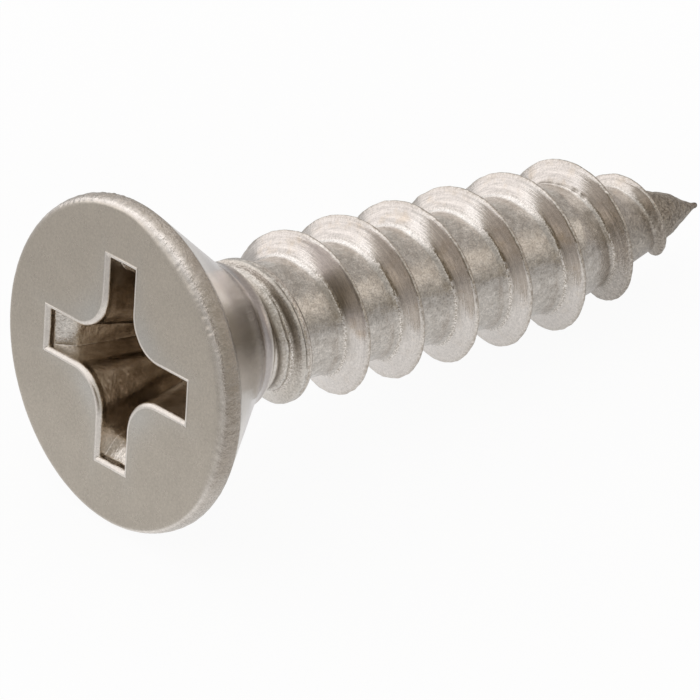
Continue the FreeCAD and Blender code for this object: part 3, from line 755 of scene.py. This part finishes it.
class Graph:
    """Adds nodes to a tree; an input that is given a socket is linked, any other value is set."""

    def __init__(self, tree):
        self.tree = tree
        tree.nodes.clear()

    def add(self, kind, *inputs, **settings):
        node = self.tree.nodes.new(kind)
        named = settings.pop("inputs", {})
        for name, value in settings.items():
            setattr(node, name, value)
        for key, value in [*enumerate(inputs), *named.items()]:
            if isinstance(value, bpy.types.NodeSocket):
                self.tree.links.new(value, node.inputs[key])
            else:
                node.inputs[key].default_value = value
        return node

    def work_out(self, operation, *values):
        return self.add("ShaderNodeMath", *values, operation=operation).outputs[0]

    def plus(self, one, other):
        return self.work_out("ADD", one, other)

    def times(self, one, other):
        return self.work_out("MULTIPLY", one, other)

    def centred(self, pattern, strength):
        """A pattern from 0 to 1 as a change about zero."""
        return self.times(self.work_out("SUBTRACT", pattern, 0.5), strength)

    def vector(self, operation, *values, output=0, **inputs):
        return self.add("ShaderNodeVectorMath", *values, operation=operation, inputs=inputs).outputs[output]

    def mix(self, share, one, other):
        node = self.add("ShaderNodeMix", data_type="RGBA", inputs={"Factor": share})
        for key, value in ((6, one), (7, other)):
            if isinstance(value, bpy.types.NodeSocket):
                self.tree.links.new(value, node.inputs[key])
            else:
                node.inputs[key].default_value = (*value, 1)
        return node.outputs[2]

    def ramp(self, value, low, high, first=0, last=1, **settings):
        """Map a value from one range to another, held at the ends."""
        limits = low, high, first, last
        return self.add("ShaderNodeMapRange", value, *limits, clamp=True, **settings).outputs[0]

    def attribute(self, name, output="Fac"):
        return self.add("ShaderNodeAttribute", attribute_name=name).outputs[output]

    def grain(self, place, stretch, detail=2.0, roughness=0.5):
        scaled = self.vector("MULTIPLY", place, stretch)
        settings = {"Scale": 1.0, "Detail": detail, "Roughness": roughness}
        return self.add("ShaderNodeTexNoise", scaled, inputs=settings).outputs["Fac"]

    def weighed(self, start, zones, weights):
        """A value and what each of some zones adds to it."""
        for name, weight in weights.items():
            start = self.plus(self.times(zones[name], weight), start)
        return start


def steel():
    """Satin stainless steel, with a tone, a gloss and a grain of its own on each part of the screw."""
    material = bpy.data.materials.new("satin_steel")
    material.use_nodes = True
    graph = Graph(material.node_tree)
    place = graph.attribute("body", "Vector")
    zones = {name: graph.attribute(name) for name in ZONES}
    cloud = graph.grain(place, (1.1, 1.1, 1.1))
    patch = graph.grain(place, (3.0, 3.0, 3.0), 3)
    mottle = graph.grain(place, (5.5, 5.5, 5.5), 3, 0.55)
    fine = graph.grain(place, (14, 14, 14), 3, 0.6)
    dust = graph.grain(place, (30, 30, 30), 2, 0.6)
    streak = graph.grain(graph.attribute("swirl", "Vector"), (2.5, 2.5, 24), 3, 0.6)

    clouded = graph.ramp(cloud, 0.35, 0.65)
    # The face is a little darker towards its lower edge.
    across = graph.add("ShaderNodeSeparateXYZ", place).outputs["X"]
    patterns = {
        "flowing": graph.times(graph.ramp(patch, 0.52, 0.72), zones["streaky"]),
        "patched": graph.ramp(patch, 0.35, 0.65),
        "mottled": graph.ramp(mottle, 0.36, 0.64),
        "speckled": graph.ramp(fine, 0.4, 0.6),
        "dusted": graph.ramp(dust, 0.42, 0.58),
        "lowered": graph.plus(graph.ramp(across, -3.9, 3.9, 0, 0.85), graph.times(clouded, 0.15)),
    }
    tone = graph.mix(clouded, *PLAIN_TONES)
    for name, pattern, one, other in ZONE_TONES:
        own = graph.mix(patterns[pattern], one, other) if pattern else one
        tone = graph.mix(zones[name], tone, own)

    grain = graph.plus(graph.centred(dust, 0.7), graph.centred(fine, 0.6))
    grain = graph.times(grain, graph.weighed(GRAIN, zones, ZONE_GRAIN))
    lines = graph.times(graph.centred(streak, 0.9), zones["streaky"])
    tone = graph.vector("SCALE", tone, Scale=graph.plus(graph.plus(grain, lines), 1.0))

    roughness = graph.weighed(graph.ramp(patch, 0.2, 0.8, *ROUGHNESS), zones, ZONE_ROUGHNESS)
    height = graph.plus(fine, graph.times(dust, 0.4))
    height = graph.times(height, graph.weighed(RELIEF, zones, ZONE_RELIEF))
    height = graph.plus(height, graph.times(graph.times(streak, zones["streaky"]), 0.3))
    relief = graph.add("ShaderNodeBump", inputs={
        "Strength": 1.0, "Distance": RELIEF_HEIGHT, "Height": height})
    shader = graph.add("ShaderNodeBsdfPrincipled", inputs={
        "Base Color": tone, "Metallic": 1.0, "Roughness": roughness, "Normal": relief.outputs[0]})
    graph.add("ShaderNodeOutputMaterial", shader.outputs[0])
    return material


def aim(azimuth, elevation):
    """Direction with this azimuth from +Y towards +X and this height above the horizon."""
    azimuth, elevation = math.radians(azimuth), math.radians(elevation)
    level = math.cos(elevation)
    return math.sin(azimuth) * level, math.cos(azimuth) * level, math.sin(elevation)


def studio():
    """A room of soft lights, bright above and dimmer low down, which the camera sees as white."""
    world = bpy.data.worlds.new("studio")
    bpy.context.scene.world = world
    world.use_nodes = True
    graph = Graph(world.node_tree)
    where = graph.add("ShaderNodeTexCoord").outputs["Generated"]
    light = ROOM_LIGHT
    for azimuth, elevation, inner, outer, colour in SOFT_LIGHTS:
        towards = graph.vector("DOT_PRODUCT", where, aim(azimuth, elevation), output="Value")
        edge, full = math.cos(math.radians(outer)), math.cos(math.radians(inner))
        share = graph.ramp(towards, edge, full, interpolation_type="SMOOTHSTEP")
        light = graph.mix(share, light, colour)
    seen = graph.add("ShaderNodeLightPath").outputs["Is Camera Ray"]
    background = graph.add("ShaderNodeBackground", graph.mix(seen, light, (1, 1, 1)), 1.0)
    graph.add("ShaderNodeOutputWorld", background.outputs[0])


def stage():
    """The pale floor, with its glow in reflections and a faint shadow."""
    bpy.ops.mesh.primitive_plane_add(size=FLOOR_SIZE)
    floor = bpy.context.object
    floor.name = "floor"
    material = bpy.data.materials.new("pale_floor")
    material.use_nodes = True
    graph = Graph(material.node_tree)
    paper = graph.add("ShaderNodeBsdfDiffuse", PAPER).outputs[0]
    path = graph.add("ShaderNodeLightPath")
    where = graph.add("ShaderNodeTexCoord").outputs["Object"]

    # In reflections the paper is brightest by the screw's head and dims away from it.
    away = graph.vector("DISTANCE", where, GLOW_CENTRE, output="Value")
    fading = graph.plus(graph.work_out("POWER", graph.work_out("DIVIDE", away, GLOW_REACH), 3.0), 1.0)
    strength = graph.plus(graph.work_out("DIVIDE", GLOW_NEAR, fading), GLOW_FAR)
    heading = graph.vector("NORMALIZE", where)
    towards = graph.vector("DOT_PRODUCT", heading, aim(WINDOW_AZIMUTH, 0), output="Value")
    edge, full = (math.cos(math.radians(angle)) for angle in WINDOW_ANGLES)
    beyond = graph.ramp(away, *WINDOW_DISTANCES)
    strength = graph.plus(strength, graph.times(graph.ramp(towards, edge, full, 0, WINDOW_GLOW), beyond))
    glow = graph.add("ShaderNodeEmission", (1, 1, 1, 1), strength).outputs[0]
    mirrored = graph.times(path.outputs["Is Glossy Ray"], GLOW_SHARE)
    mixed = graph.add("ShaderNodeMixShader", mirrored, paper, glow).outputs[0]

    # Seen from the camera the paper is white, and keeps a faint shadow of the screw around it.
    from_screw = graph.vector("LENGTH", where, output="Value")
    white = graph.ramp(from_screw, *SHADOW_DISTANCES, SHADOW_WHITE, 1.0)
    white = graph.times(path.outputs["Is Camera Ray"], white)
    lit = graph.add("ShaderNodeEmission", (1, 1, 1, 1), 1.0).outputs[0]
    mixed = graph.add("ShaderNodeMixShader", white, mixed, lit)
    graph.add("ShaderNodeOutputMaterial", mixed.outputs[0])
    floor.data.materials.append(material)


def make_camera(face_centre):
    """The photo's view of the screw."""
    level = math.cos(VIEW_ELEVATION)
    back = Vector((math.sin(VIEW_AZIMUTH) * level, -math.cos(VIEW_AZIMUTH) * level, math.sin(VIEW_ELEVATION)))
    right = Vector((math.cos(VIEW_AZIMUTH), math.sin(VIEW_AZIMUTH), 0))
    up = back.cross(right)
    data = bpy.data.cameras.new("camera")
    data.sensor_width = SENSOR_WIDTH
    data.lens = SENSOR_WIDTH * FOCAL_PIXELS / IMAGE_WIDTH
    data.clip_start, data.clip_end = 0.01, 20
    camera = bpy.data.objects.new("camera", data)
    bpy.context.scene.collection.objects.link(camera)
    camera.rotation_mode = "QUATERNION"
    camera.rotation_quaternion = (-back).to_track_quat("-Z", "Y")
    camera.location = face_centre + AIM_RIGHT * right + AIM_UP * up + VIEW_DISTANCE * back
    bpy.context.scene.camera = camera


def dress(place):
    """The three pieces of the screw: the head, and the shank in two."""
    material = steel()
    make_piece("screw_head", *head(), place, material)
    points, zones, upper, lower = shank()
    for name, part in (("screw_thread_upper", upper), ("screw_thread_lower", lower)):
        used, faces = np.unique(part, return_inverse=True)
        own = {zone: values[used] for zone, values in zones.items()}
        make_piece(name, points[used], faces.reshape(-1, 4), own, place, material)


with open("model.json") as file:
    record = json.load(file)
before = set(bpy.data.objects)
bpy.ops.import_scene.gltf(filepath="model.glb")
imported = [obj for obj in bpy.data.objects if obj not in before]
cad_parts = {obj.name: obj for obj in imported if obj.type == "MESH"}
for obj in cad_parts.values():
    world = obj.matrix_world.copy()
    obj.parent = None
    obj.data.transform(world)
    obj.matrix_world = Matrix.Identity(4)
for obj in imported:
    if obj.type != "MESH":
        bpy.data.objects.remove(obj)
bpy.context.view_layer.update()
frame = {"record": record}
bpy.context.scene.view_settings.view_transform = "Standard"
place = lying_frame(frame["record"])
dress(place)
stage()
studio()
make_camera(place.translation)
